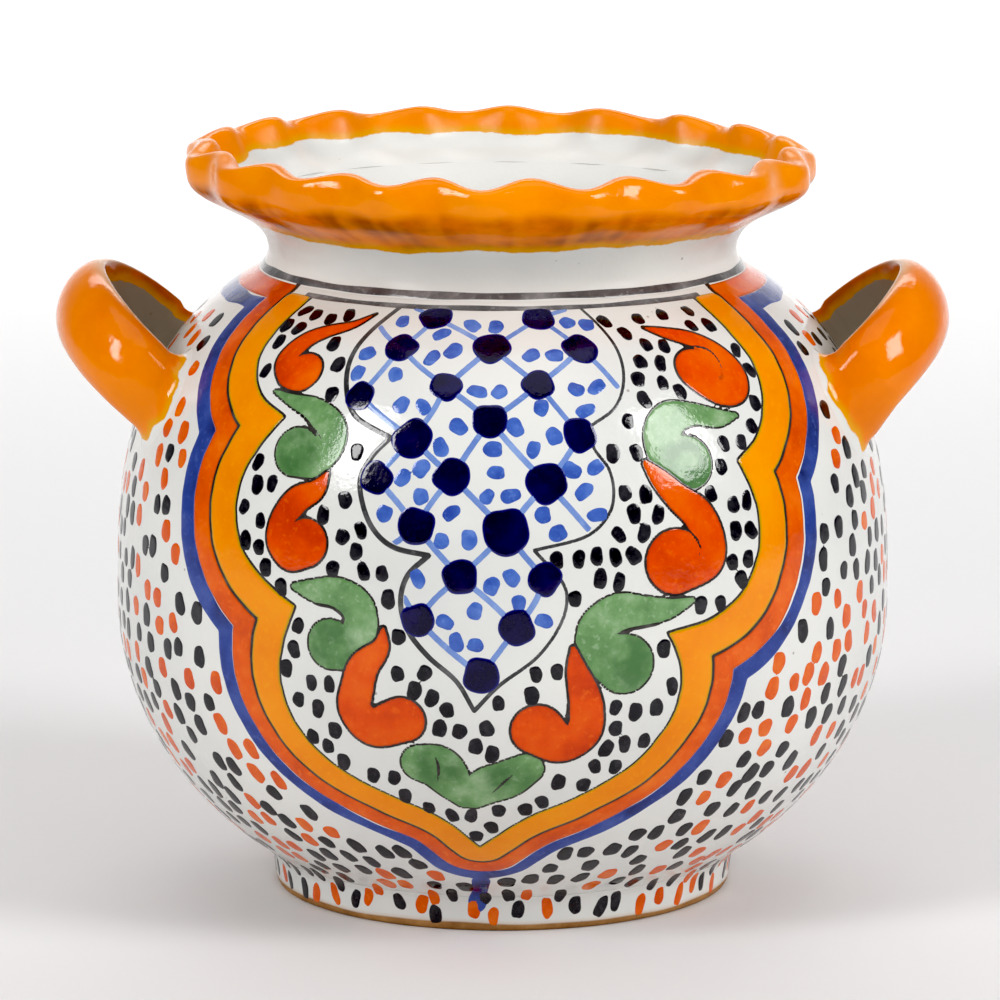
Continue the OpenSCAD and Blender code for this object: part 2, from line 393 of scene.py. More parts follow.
def orange_glaze(name, bright, deep, under):
    """Orange glaze where the brush went, by the attribute paint, on the white; shade marks painted shade,
    where the orange turns to the darker under colour, and inner marks painted shade on the white inside the
    handles' loops.
    """
    material, tree, principled = shader(name)
    place = object_place(tree)
    grain = noise(tree, place, 330.0, 3.0)
    ragged = math_node(tree, "MULTIPLY", math_node(tree, "SUBTRACT", grain, 0.5), 1.1)
    paint = math_node(tree, "ADD", attribute(tree, "paint"), ragged)
    cover = level(tree, paint, -0.22, 0.22)
    cloud = noise(tree, place, 46.0, 5.0, 0.6)
    colour = ramp(tree, cloud, [(0.25, deep), (0.62, bright)])
    streak = level(tree, attribute(tree, "streak"), 0.0, 1.0, 0.0, 0.45)
    # Painted shade: where shade is 1 the orange turns to the darker under colour, with darker patches and
    # streaks of run glaze, for the shade under the rim's flare and on the handles' inner faces.
    dark = tuple(0.62 * c for c in under)
    below = ramp(tree, noise(tree, place, 62.0, 3.0), [(0.38, dark), (0.5, under), (0.66, deep)])
    below = blend_colour(tree, streak, below, bright)
    colour = blend_colour(tree, attribute(tree, "shade"), colour, below)
    thin = level(tree, paint, 0.3, 2.8, 0.8, 0.0)
    colour = blend_colour(tree, thin, colour, (0.78, 0.38, 0.004))
    pale = level(tree, attribute(tree, "pale"), 0.0, 1.0, 0.0, 0.75)
    colour = blend_colour(tree, pale, colour, (0.84, 0.56, 0.30))
    # Painted shade: inside the handles' loops, where inner is 1, the white is tinted olive-brown.
    painted_inner_shade = math_node(tree, "MULTIPLY", attribute(tree, "inner"), 0.85)
    ground = blend_colour(tree, painted_inner_shade, white_colour(tree, place), (0.27, 0.22, 0.145))
    colour = blend_colour(tree, cover, ground, colour)
    tree.links.new(colour, principled.inputs["Base Color"])
    glaze_surface(tree, principled, place, 0.1, 0.5)
    shine = level(tree, attribute(tree, "shade"), 0.0, 1.0, 0.42, 0.06)
    tree.links.new(shine, principled.inputs["Specular IOR Level"])
    satin = math_node(tree, "MULTIPLY", attribute(tree, "satin"), 0.26)
    gloss = principled.inputs["Roughness"].links[0].from_socket
    tree.links.new(math_node(tree, "ADD", gloss, satin), principled.inputs["Roughness"])
    return material


# ---- The clay pieces
def hand_wave(angle, seed, waves=((1, 0.5), (2, 0.4), (5, 0.35), (9, 0.3), (17, 0.2))):
    """A slow, seeded wander of about +-1 round the vase."""
    draw = random.Random(seed)
    a = np.radians(np.asarray(angle, float))
    return sum(size * np.sin(k * a + draw.uniform(0, 2 * math.pi)) for k, size in waves)


def crisp(profile, corners, near=0.02):
    """The closed profile with points just beside the named corners, so the shading turns only there."""
    out = []
    count = len(profile)
    for k, p in enumerate(profile):
        before, after = profile[k - 1], profile[(k + 1) % count]
        if k in corners:
            out.append(p + (before - p) * near / max(np.linalg.norm(before - p), 2 * near))
        out.append(p)
        if k in corners:
            out.append(p + (after - p) * near / max(np.linalg.norm(after - p), 2 * near))
    return np.array(out)


def cut_outline(z0, z1):
    """The outline between two heights, with its own end points."""
    keep = (OUTLINE[:, 1] > z0 + 1e-6) & (OUTLINE[:, 1] < z1 - 1e-6)
    ends = [[np.interp(z, OUTLINE[:, 1], OUTLINE[:, 0]), z] for z in (z0, z1)]
    return np.concatenate([[ends[0]], OUTLINE[keep], [ends[1]]])


def make_foot():
    """The foot ring, with a rounded edge that stands bare on the table."""
    inner = FOOT_R - FOOT_W
    outside = spaced(cut_outline(1.0, FOOT_H), 0.5)
    top_in = under_z(inner)
    bottom = [(outside[0][0] - 0.35, 0.3), (outside[0][0] - 1.0, 0.02), (inner + 2.5, 0.02),
              (inner + 1.0, 0.02), (inner + 0.3, 0.35), (inner, 1.1), (inner, 3.0)]
    inside = [(inner, top_in), (inner + 3.0, top_in + 0.8)]
    profile = np.concatenate([outside[::-1], bottom, inside])[::-1]

    def bare(angle, r, z, k):
        limit = 1.75 + 0.45 * hand_wave(angle, 3)
        return {"bare": np.where(r < inner + 0.05, 3.0 - z, limit - z)}
    return revolve("foot_ring_glazed", profile, 320, foot_glaze(), bare)


def make_belly(white):
    """The belly's outside, inside, floor and underside, as one closed profile."""
    outside = spaced(cut_outline(FOOT_H, SHOULDER_Z), 1.1)
    inner = FOOT_R - FOOT_W
    under = under_z(inner)
    floor_z = under + FLOOR_T
    heights = mix(SHOULDER_Z, floor_z, (1 - np.cos(np.linspace(0, math.pi, 90))) / 2)
    inside = np.stack([inner_skin_r(heights), heights], 1)
    floor = [(r, floor_z - 0.0005 * r) for r in (40.0, 26.0, 12.0, 0.0)]
    below = [(r, under) for r in (0.0, 18.0, 36.0, inner - 0.5)]
    return revolve("belly_glazed", np.concatenate([outside, inside, floor, below]), 320, white)


def rim_paint_edge(angle):
    """Height of the brushed lower edge of the orange, outside."""
    lower = 1.6 * np.exp(-((np.asarray(angle, float) % 360 - 325) / 24) ** 2)
    return 174.9 - lower + 0.4 * hand_wave(angle, 11) + 0.3 * hand_wave(angle, 12, ((13, 1.0), (29, 0.6)))


def flare_wall(t):
    """Outside points of the flare and the matching inside points."""
    out = bend(*FLARE_PTS, t)
    d = bend_dir(*FLARE_PTS, t)
    n = np.stack([-d[:, 1], d[:, 0]], 1) / np.linalg.norm(d, axis=1)[:, None]
    return out, out + NECK_WALL * n


def make_collar(orange):
    """The white collar, with the lower edge of the rim's orange brushed over it."""
    outside = spaced(cut_outline(SHOULDER_Z, OUTLINE[-1][1]), 0.7)
    inside = flare_wall(np.linspace(COLLAR_SHARE, 0, 14))[1]
    profile = np.concatenate([outside, inside, [(NECK_BASE_R - NECK_WALL, SHOULDER_Z)]])
    split = len(outside)
    profile = crisp(profile, (0, split - 1, split, len(profile) - 1))
    split += 3

    def paint(angle, r, z, k):
        outer = k < split
        reach = np.where(outer, z - rim_paint_edge(angle), -5.0)
        ones = np.ones_like(z)
        # Painted shade: the whole collar lies under the flare, so shade is 1 on all of it.
        return {"paint": reach, "shade": ones, "streak": rim_streak(angle), "pale": 0 * ones}
    return revolve("neck_collar_glazed", profile, 320, orange, paint)


def rim_streak(angle):
    """How far the glaze under the rim has run into bright streaks."""
    waves = ((23, 0.5), (41, 0.6), (67, 0.5), (97, 0.45))
    return np.clip(0.35 + 0.45 * hand_wave(angle, 21, waves), 0, 1)


def lip_section():
    """Section of the flare and lip above the collar, once round, and each point's length from the crest."""
    lip, crest = np.array([LIP_R, LIP_Z]), np.array([CREST_R, CREST_Z])
    inner_lip = np.array([LIP_R - LIP_T, LIP_Z - 0.6])
    flare = bend(*FLARE_PTS, np.linspace(COLLAR_SHARE, 1, 26))
    inner_join = flare_wall(np.array([COLLAR_SHARE]))[1][0]
    d = bend_dir(*FLARE_PTS, np.array([COLLAR_SHARE]))[0]
    d = d / np.linalg.norm(d)
    over = lip + [0, LIP_CREST * 0.78], crest + [LIP_T * 0.32, 0]
    roll = bend(lip, *over, crest, np.linspace(0, 1, 16))[1:]
    inside = bend(crest, crest - [LIP_T * 0.3, 0], inner_lip + [LIP_T * 0.18, LIP_CREST * 0.5], inner_lip,
                  np.linspace(0, 1, 13))[1:]
    down = inner_lip - [1.8, 3.0], inner_join + 4 * d
    throat = bend(inner_lip, *down, inner_join, np.linspace(0, 1, 12))[1:]
    section = np.concatenate([flare, roll, inside, throat])
    section = crisp(section, (0, len(section) - 1))
    steps = np.concatenate([[0], np.cumsum(np.linalg.norm(np.diff(section, axis=0), axis=1))])
    return section, steps - steps[len(flare) + len(roll) + 1]


def ruffled(p, angle):
    """Where a point of the lip section goes at an angle, once the lip is pinched."""
    base_z = flare_wall(np.array([COLLAR_SHARE]))[0][0][1] + 1
    share = np.clip((p[:, 1] - base_z) / (CREST_Z - base_z), 0, 1) ** 1.3
    drift = 0.22 * hand_wave(angle, 31, ((2, 1.0), (3, 0.8), (7, 0.6)))
    turn = RUFFLES * np.radians(angle - RUFFLE_TURN) + drift
    size = 1 + 0.10 * hand_wave(angle, 32, ((3, 0.8), (5, 0.6), (8, 0.5)))
    w = share * np.cos(turn) * size
    r = p[:, 0] - RUFFLE_IN * w
    up = np.minimum(p[:, 1] + RUFFLE_UP * w, TOP_Z - 0.4)
    a = math.radians(angle)
    x, y = r * math.sin(a), -r * math.cos(a)
    return np.stack([x - LIP_OFFSET * share, y, up - share * x * math.sin(LIP_TILT)], 1)


def make_rim(orange):
    """The flare and its pinched lip, orange outside and over the crest, white inside."""
    section, along = lip_section()
    n, columns = len(section), RUFFLES * 30
    angles = np.arange(columns) * 360.0 / columns
    rings = [ruffled(section, a) for a in angles]
    verts = np.concatenate(rings)
    verts[:, 2] = np.minimum(verts[:, 2], TOP_Z)
    faces = [(i * n + k, (i + 1) % columns * n + k, (i + 1) % columns * n + (k + 1) % n, i * n + (k + 1) % n)
             for i in range(columns) for k in range(n)]
    angle = np.repeat(angles, n)
    c = np.tile(along, columns)
    inner_edge = 8.6 + 0.9 * hand_wave(angle, 13) + 0.8 * np.cos(RUFFLES * np.radians(angle - RUFFLE_TURN))
    paint = np.where(c > 0, inner_edge - c, verts[:, 2] - rim_paint_edge(angle))
    # Painted shade: on the outside, from 8.5 to 12.5 mm along the section below the crest, the colour turns
    # to the darker shade of the flare's underside.
    shade = np.where(c < 0, smooth(-c, 8.5 + hand_wave(angle, 14), 12.5 + hand_wave(angle, 14)), 0.0)
    values = {"paint": paint, "shade": shade, "streak": rim_streak(angle), "pale": np.zeros(len(c)),
              "satin": smooth(c, 0.5, 4.0)}
    return new_object("ruffled_rim_glazed", verts, faces, orange, values)


# ---- Handles: a rounded-D strap swept round a loop, its roots drawn out onto the belly
HANDLE = {"drop": 29.5, "reach": 22.2, "rise": 19.0, "spread": 27.0, "top_w": 22.5, "root_w": 19.0,
          "thick": 8.5, "edge": 3.0, "sink": 3.2, "bulge": 0.4, "square": 0.85, "lean": 0.06,
          "lean_root": 34.0, "lean_top": 24.0}
ROOT_Z = SHOULDER_Z - HANDLE["drop"]
ROOT_X = math.sqrt(float(skin_r(ROOT_Z)) ** 2 - HANDLE["spread"] ** 2) - HANDLE["sink"] + 0.1
LOOP_DIR = np.array([HANDLE["reach"], 0, HANDLE["rise"]]) / math.hypot(HANDLE["reach"], HANDLE["rise"])


def loop_pt(deg):
    """A point under the strap, from -90 at one root to 90 at the other, and its share of the lift."""
    lift = max(0.0, math.cos(math.radians(deg))) ** HANDLE["square"]
    y = HANDLE["spread"] * math.sin(math.radians(deg)) * (1 + HANDLE["bulge"] * lift * (1 - lift))
    z = ROOT_Z + HANDLE["rise"] * lift + HANDLE["lean"] * y
    return np.array([ROOT_X + HANDLE["reach"] * lift, y, z]), lift


def strap_ring(deg, tail, count):
    """The strap's rounded-D section at a point of the loop; tail draws its lower edge out at the roots."""
    p, lift = loop_pt(deg)
    if abs(deg) > 89:
        t = -math.copysign(1, deg) * LOOP_DIR
    else:
        t = loop_pt(deg + 0.5)[0] - loop_pt(deg - 0.5)[0]
        t = t / np.linalg.norm(t)
    lean = math.radians(mix(HANDLE["lean_root"], HANDLE["lean_top"], lift))
    w = np.array([-math.sin(lean), 0, math.cos(lean)])
    w = w - w.dot(t) * t
    w = w / np.linalg.norm(w)
    n = np.cross(t, w)
    draw, width = (1 - lift) ** 3 * tail, mix(HANDLE["root_w"], HANDLE["top_w"], lift)
    ring = []
    for k in range(count):
        s = 2 * math.pi * k / count
        u, side = math.cos(s), math.sin(s)
        across = u * (width / 2 + (draw if u < 0 else 0))
        if side > 0:
            out = HANDLE["edge"] / 2 + (HANDLE["thick"] - HANDLE["edge"] / 2) * side ** 1.1
        else:
            out = HANDLE["edge"] / 2 * (1 - (-side) ** 0.6)
        ring.append(p + across * w + out * n)
    return np.array(ring)


def onto_belly(p, lift=0.0):
    """The point of the belly's skin at p's angle and height."""
    r = math.hypot(p[0], p[1])
    to = float(skin_r(p[2])) + lift
    return np.array([p[0] * to / r, p[1] * to / r, p[2]])


def reach_belly(p, direction):
    """Where a line from p first meets the belly's skin."""
    lo, hi = 0.0, 30.0
    inside = lambda s: math.hypot(*(p + s * direction)[:2]) < float(skin_r((p + s * direction)[2]))
    if inside(0.0):
        lo, hi = -14.0, 0.0
    for _ in range(26):
        mid = (lo + hi) / 2
        lo, hi = (lo, mid) if inside(mid) else (mid, hi)
    return p + lo * direction


def root_blend(ring, inward, steps, soft):
    """Rings that run from the strap down a soft corner onto the belly."""
    corners = np.array([reach_belly(p, inward) for p in ring])
    middle = corners.mean(0)
    starts, ends = [], []
    for p, q in zip(ring, corners):
        out = q - middle
        out = out / np.linalg.norm(out)
        starts.append(q - inward * soft)
        ends.append(onto_belly(q + out * soft * 1.05, -0.12))
    starts, ends = np.array(starts), np.array(ends)
    rows = []
    for i in range(steps + 1):
        t = i / steps
        rows.append(starts * (1 - t) ** 2 + 2 * corners * t * (1 - t) + ends * t * t)
    return rows


def handle_rows(tail, count, blend_steps, soft):
    """Rings of points from one sunk root, round the loop, to the other."""
    steps, clear, sunk = 84, 0.6, -3.0
    near = root_blend(strap_ring(-90, tail, count), -LOOP_DIR, blend_steps, soft)
    far = root_blend(strap_ring(90, tail, count), -LOOP_DIR, blend_steps, soft)
    rows = near[::-1]
    for i in range(steps + 1):
        ring = strap_ring(-90 + 180 * i / steps, tail, count)
        if all(((ring - end) @ LOOP_DIR).min() > clear for end in (near[0], far[0])):
            rows.append(ring)
    rows += far
    ends = [np.array([onto_belly(p, sunk) for p in rows[i]]) for i in (0, -1)]
    return [ends[0]] + rows + [ends[1]]


def handle_paint(rows, count, blend_steps, soft, seed):
    """Where the orange lies on the strap, where painted shade darkens it, where it is pale, and where painted
    shade darkens the inside of the loop.

    Round the section, s is 0 at the upper edge, 90 at the crown, 180 at the lower edge and 270 inside.
    """
    s = np.tile(np.degrees(np.arange(count) * 2 * math.pi / count), rows)
    row = np.repeat(np.arange(rows), count)
    from_end = np.minimum(row, rows - 1 - row) - 1
    waves = ((2, 0.5), (5, 0.6), (9, 0.5))
    zig = np.where(row < rows / 2, hand_wave(s, seed, waves), hand_wave(s, seed + 1, waves))
    root_paint = (from_end - blend_steps * 0.42 - 1.2 * zig) * (soft * 1.6 / blend_steps)
    wrap = 4.0 * np.sin(np.radians(row * 7.0 + seed * 40)) + 3.0 * np.sin(np.radians(row * 17.0))
    top_edge, low_edge = -52 + wrap, 205 + wrap
    face = np.where(s > 270, s - (360 + top_edge), np.where(s > 180, low_edge - s, 90)) * 0.12
    lifted = np.sin(np.pi * np.clip((row - 1) / (rows - 3), 0, 1)) ** 3
    high, low = np.minimum(s, 360 - s), np.abs(s - 180)
    pale = np.maximum(np.maximum(1 - high / (8 + 30 * lifted), 0), np.maximum(1 - low / 8, 0) * 0.7)
    # Painted shade: shade darkens the orange on the inner face, and inner tints the white inside the loop
    # olive-brown.
    inner = smooth(s, 181, 190) * (1 - smooth(s, 346, 358))
    return {"paint": np.minimum(root_paint, face), "shade": np.where(s > 185, 0.55, 0.0),
            "streak": np.zeros(len(s)), "pale": pale, "inner": inner}


def make_handle(name, side, tail, material, seed):
    """One strap handle; side is 1 on the right and -1 on the left."""
    n, blend_steps, soft = 48, 12, 5.0
    rows = handle_rows(tail, n, blend_steps, soft)
    verts = np.concatenate(rows)
    values = handle_paint(len(rows), n, blend_steps, soft, seed)
    faces = [(i * n + k, i * n + (k + 1) % n, (i + 1) * n + (k + 1) % n, (i + 1) * n + k)
             for i in range(len(rows) - 1) for k in range(n)]
    faces.append(tuple(reversed(range(n))))
    faces.append(tuple((len(rows) - 1) * n + k for k in range(n)))
    verts[:, 0] *= side
    if side < 0:
        faces = [tuple(reversed(f)) for f in faces]
    return new_object(name, verts, faces, material, values)


# ---- The painted decoration, drawn as distances on a grid laid over the outline
# Row pitch along the outline, columns in half a turn, and the distance that stands for unpainted
PITCH, HALF, FAR = 0.6, 525, 30.0
ROW_T = np.arange(PATH[0] + 0.6, path_at(WAIST_Z), PITCH)
ROW_R = np.interp(ROW_T, PATH, OUTLINE[:, 0])
ROW_Z = np.interp(ROW_T, PATH, OUTLINE[:, 1])
ROW_NR = np.interp(ROW_T, PATH, OUTLINE_N[:, 0])
ROW_NZ = np.interp(ROW_T, PATH, OUTLINE_N[:, 1])


class Sheet:
    """A grid of distances in millimetres over some columns of the vase; below 0 is painted."""

    def __init__(self, angles):
        self.angles = np.asarray(angles, float)

    def blank(self):
        return np.full((len(ROW_T), len(self.angles)), FAR)

    def window(self, angle, t, reach):
        r0 = np.searchsorted(ROW_T, t - reach)
        r1 = np.searchsorted(ROW_T, t + reach)
        r1 = max(r1, r0 + 1)
        narrow = max(20.0, float(ROW_R[min(r0, len(ROW_R) - 1):r1].min()) if r0 < len(ROW_R) else 20.0)
        wide = math.degrees(reach / narrow)
        c0 = int(np.searchsorted(self.angles, angle - wide))
        c1 = int(np.searchsorted(self.angles, angle + wide))
        return slice(r0, r1), slice(c0, c1)

    def local(self, rows, cols, angle, t):
        x = np.radians(self.angles[cols] - angle)[None, :] * ROW_R[rows][:, None]
        return x, (ROW_T[rows] - t)[:, None] + 0 * x

    def disc(self, field, angle, t, radius, reach=None):
        rows, cols = self.window(angle, t, reach or radius + 3.0)
        x, y = self.local(rows, cols, angle, t)
        field[rows, cols] = np.minimum(field[rows, cols], np.hypot(x, y) - radius)

    def dab(self, field, angle, t, half_w, half_l, tilt, wobble, uneven=1.0):
        """A brush dab: an oval whose outline wanders a little."""
        rows, cols = self.window(angle, t, half_l + half_w + 2.0)
        x, y = self.local(rows, cols, angle, t)
        ca, sa = math.cos(tilt), math.sin(tilt)
        u, v = (x * ca + y * sa) / half_w, (-x * sa + y * ca) / half_l
        around = np.arctan2(v, u)
        edge = 1 + uneven * (0.045 * np.sin(3 * around + wobble) + 0.03 * np.sin(5 * around + 2.3 * wobble))
        blunt = 2.5
        size = np.maximum((np.abs(u) ** blunt + np.abs(v) ** blunt) ** (1 / blunt), 1e-6)
        slope = np.hypot((np.abs(u) / size) ** (blunt - 1) / half_w,
                         (np.abs(v) / size) ** (blunt - 1) / half_l)
        far = (size - edge) / np.maximum(slope, 1e-6)
        field[rows, cols] = np.minimum(field[rows, cols], far)

    def stroke(self, field, points, reach=4.0):
        """A brush stroke through points (angle, path, half width), as a chain of discs."""
        for angle, t, radius in points:
            self.disc(field, angle, t, radius, radius + reach)

    def contour(self, outline):
        """Distance to a closed outline of (angle, path), below 0 inside."""
        far = np.full((len(ROW_T), len(self.angles)), 1e9)
        inside = np.zeros(far.shape, bool)
        a, t = self.angles[None, :], ROW_T[:, None]
        scale = np.radians(1.0) * ROW_R[:, None]
        for (a0, t0), (a1, t1) in zip(outline, np.roll(outline, -1, axis=0)):
            px, py = (a - a0) * scale, t - t0
            ex, ey = (a1 - a0) * scale, t1 - t0
            share = np.clip((px * ex + py * ey) / np.maximum(ex * ex + ey * ey, 1e-9), 0, 1)
            far = np.minimum(far, np.hypot(px - ex * share, py - ey * share))
            if t0 != t1:
                crosses = ((t0 > t) != (t1 > t)) & (a < (a1 - a0) * (t - t0) / (t1 - t0) + a0)
                inside ^= crosses
        return np.where(inside, -far, far)

    def sample(self, field, angle, t):
        i = int(np.clip(np.searchsorted(ROW_T, t), 0, len(ROW_T) - 1))
        j = int(np.clip(np.searchsorted(self.angles, angle), 0, len(self.angles) - 1))
        return float(field[i, j])


def through(points, step=0.6):
    """A smooth line through points of any number of values; the first two are degrees and path."""
    p = np.asarray(points, float)
    if len(p) == 2:
        p = np.stack([p[0], p.mean(0), p[1]])
    ends = np.concatenate([[2 * p[0] - p[1]], p, [2 * p[-1] - p[-2]]])
    out = []
    for i in range(1, len(ends) - 2):
        a, b, c, d = ends[i - 1:i + 3]
        size = math.hypot((c - b)[0] * 1.6, (c - b)[1])
        n = max(2, int(math.ceil(size / step)))
        for k in range(n):
            s = k / n
            out.append(0.5 * (2 * b + (c - a) * s + (2 * a - 5 * b + 4 * c - d) * s * s
                              + (3 * b - a - 3 * c + d) * s ** 3))
    out.append(p[-1])
    return np.array(out)


def on_path(points):
    """(angle, height, ...) to (angle, path, ...)."""
    p = np.array(points, float)
    p[:, 1] = path_at(p[:, 1])
    return p


# Heights where the gold bands end under the neck, and of the ring where the others end
TOP_EDGE, RING_Z = 160.4, 162.6
# Inner edge of the gold band: lobes between cusps, as (angle, height)
GOLD_LOBES = [
    [(-47, 162), (-48.5, 152), (-47.5, 145), (-43.5, 139), (-37, 134.5)],
    [(-37, 134.5), (-40.5, 126.5), (-42.5, 118), (-42.5, 109), (-40.5, 101.5), (-36.5, 95), (-31, 89.5)],
    [(-31, 89.5), (-32.5, 82), (-33.5, 74.5), (-33, 66), (-30.5, 56.5), (-25.5, 48.5), (-18, 42),
     (-9.5, 35.5), (-4, 27.5)],
    [(-4, 27.5), (3, 35.5), (11.5, 42), (19.5, 50), (24, 59), (26, 67.5), (26, 76), (24, 84)],
    [(24, 84), (31, 86.5), (36.5, 92), (39.5, 100), (40.5, 107.5), (40, 115), (38, 124)],
    [(38, 124), (43, 129), (47, 136.5), (49, 144.5), (48.5, 151), (47, 162)]]
# The medallion's outline: lobes between cusps, as (angle, height)
MEDAL_LOBES = [
    [(-22, 161.5), (-26.5, 155), (-28, 149.5), (-27, 143), (-24, 136.5), (-17.5, 132)],
    [(-17.5, 132), (-20, 127.5), (-21.5, 122), (-20.5, 115), (-18.5, 109.5), (-15.5, 106), (-10.5, 104.5)],
    [(-10.5, 104.5), (-13.5, 99.5), (-14.5, 93), (-13.5, 86), (-10.5, 79.5), (-6.5, 73.5), (-4, 66)],
    [(-4, 66), (-0.5, 72.5), (4.5, 79), (7.5, 85.5), (9, 92), (8.5, 98), (4.5, 106)],
    [(4.5, 106), (12, 109), (15.5, 114), (16.5, 119.5), (16, 125), (14, 130), (14, 135)],
    [(14, 135), (18.5, 139), (21, 145), (21.5, 151), (20, 156), (16.5, 161.5)]]
# Dark cobalt blobs, as (angle, height, radius)
BLOBS = [(-14, 158.5, 4.2), (7.5, 158.5, 4.1), (-19, 152, 4.2), (-2, 152.5, 4.6), (14.5, 152, 4.3),
         (-9.5, 144, 3.9), (6, 144.5, 4.2), (-24, 141, 3.7), (-2, 136.5, 4.4), (-14, 132, 4.9),
         (12, 133, 4.2), (-19, 122.5, 3.9), (-7.5, 123.5, 4.5), (6.5, 122, 5.2), (-12.5, 111.5, 4.8),
         (0.5, 110.5, 5.8), (-6, 99.5, 4.3), (6, 99, 4.2), (-12, 88.5, 3.9), (2, 87, 4.5),
         (-3, 75, 4.5)]
# Blobs joined by strokes of the lattice, chain by chain, and strokes that run out to an end
LATTICE = [(0, 3, 6, 10), (1, 3, 5, 9, 11), (2, 5, 8, 13), (4, 6, 8, 12, 14), (10, 13, 15, 16, 18),
           (7, 9, 12, 15, 17), (11, 14, 16, 19), (17, 19, 20), (18, 20), (0, 2, 7), (1, 4)]
LATTICE_ENDS = [(4, (19.5, 143.5)), (10, (16.5, 125)), (13, (12.5, 110.5)), (14, (-16, 106.5)),
                (2, (-25, 156)), (18, (-14, 94)), (1, (13.5, 160)), (0, (-19, 160))]
# Comma scrolls from the tip of the tail to the head, as (angle, height, half width)
RED_SCROLLS = [
    [(-27.5, 158.5, .3), (-31, 156, 1.3), (-36, 154, 2.2), (-39.5, 151.5, 2.9), (-41, 147.5, 3.6),
     (-39, 144.5, 3.9), (-36.5, 145, 5.6)],
    [(-27, 122.5, .8), (-28.5, 118.5, 2.6), (-31.5, 115.5, 3.6), (-33.5, 110.5, 3.9), (-34, 105.5, 3.9),
     (-32, 102.5, 4.4), (-29.5, 105.5, 6.2)],
    [(-17, 86, .6), (-17.5, 81, 2.4), (-20, 76, 4), (-21, 70.5, 4.4), (-21.5, 65, 4.6), (-19, 60.5, 5.2),
     (-14.5, 63, 6)],
    [(10, 81.5, .9), (10.5, 76, 2.7), (11.5, 70.5, 3.9), (12, 65.5, 4.5), (11.5, 60, 4.9), (8.5, 57, 5.1),
     (5, 61, 6.7)],
    [(22, 125.5, 1.1), (24, 121.5, 2.7), (26.5, 117, 3.6), (29.5, 112.5, 4.4), (31, 106.5, 4.7),
     (30.5, 101.5, 5.2), (25.5, 101.5, 8.2)],
    [(29, 155.5, .5), (33, 154, 1.9), (38, 152, 2.8), (41.5, 148.5, 3.6), (43, 144, 4.1), (41.5, 140.5, 4.1),
     (38, 140.5, 3.9), (35.4, 145.5, 5.8), (38, 146.4, 5.0)]]
GREEN_SCROLLS = [
    [(-40.5, 140, .5), (-36, 138.5, 1.8), (-31.5, 137, 3.1), (-28, 133.5, 4.2), (-27.5, 129.5, 4.4),
     (-29.5, 125.5, 4.4), (-33, 127, 6.3)],
    [(-31, 94.5, 1), (-27.5, 94, 3), (-24, 94, 3.9), (-21, 91, 4.5), (-20.5, 85.5, 4.6), (-22, 80.5, 5),
     (-25, 81, 6.4)],
    [(-12, 51.5, 5.4), (-9.5, 50.5, 6.3), (-7.5, 46, 4.8), (-6, 41.5, 2.4)],
    [(3.5, 50.5, 4.5), (0.5, 47.5, 5.6), (-2.5, 45.5, 5.4), (-4.5, 42, 3.2)],
    [(28, 91.5, .8), (24, 90, 2.7), (20, 90, 3.9), (16.5, 90, 4.8), (13.5, 86.5, 4.9), (13.5, 81, 5.1),
     (17.5, 77, 7.5)],
    [(40, 134.5, .7), (36, 134.5, 2.5), (31.5, 136, 3.1), (27.5, 135.5, 4.5), (25.5, 131.5, 5.3),
     (26.5, 126.5, 6.1), (29, 125, 6.9)]]
# Dark curls drawn into the scrolls, as (angle, height)
CURLS = [
    [(-36, 151), (-38, 149.5), (-39.5, 147.5)], [(-37.5, 136), (-33, 134), (-30, 132), (-28.5, 129.5)],
    [(-29, 113), (-31.5, 110.5), (-32.5, 109.5)], [(-28.5, 90), (-25.5, 90), (-23.5, 89), (-22, 85.5)],
    [(-17, 69.5), (-18, 67.5), (-19.5, 65)], [(-10, 54), (-9.5, 50.5), (-10, 45.5)],
    [(1.5, 49), (0, 46.5), (-2, 43)], [(9, 67), (9.5, 64), (9.5, 61)], [(22.5, 86), (20, 86), (17.5, 85.5)],
    [(27, 110), (28.5, 107.5), (29.5, 104.5), (29, 100.5)], [(33.5, 132), (31, 131.5), (30, 131)],
    [(33.5, 151), (38, 150.5), (40.5, 149), (41, 145.5), (38.5, 142)]]


def lobed(lobes):
    """A closed outline of smooth lobes that meet in cusps, as (angle, path)."""
    return np.concatenate([through(on_path(lobe), 1.2)[:-1] for lobe in lobes])


def nudged(lobes, draw, angle, height):
    """The same motif painted again by hand: its points wander a little."""
    def moved(a, z, *rest):
        return (a + draw.uniform(-angle, angle), z + draw.uniform(-height, height), *rest)
    return [[moved(*point) for point in lobe] for lobe in lobes]


def band_share(t):
    """Bands are narrower low on the vase, where the brush turned under."""
    z = np.interp(t, ROW_T, ROW_Z)
    return mix(0.72, 1.0, smooth(z, 38, 92))


# Widths of the bands, where the blue one starts past the gold, and the length of the gold's round end
GOLD_W, RED_W, BLUE_W, LINE_W = 9.2, 6.4, 5.3, 0.55
BLUE_EDGE = RED_W + LINE_W + 0.05
GOLD_END = 3.0


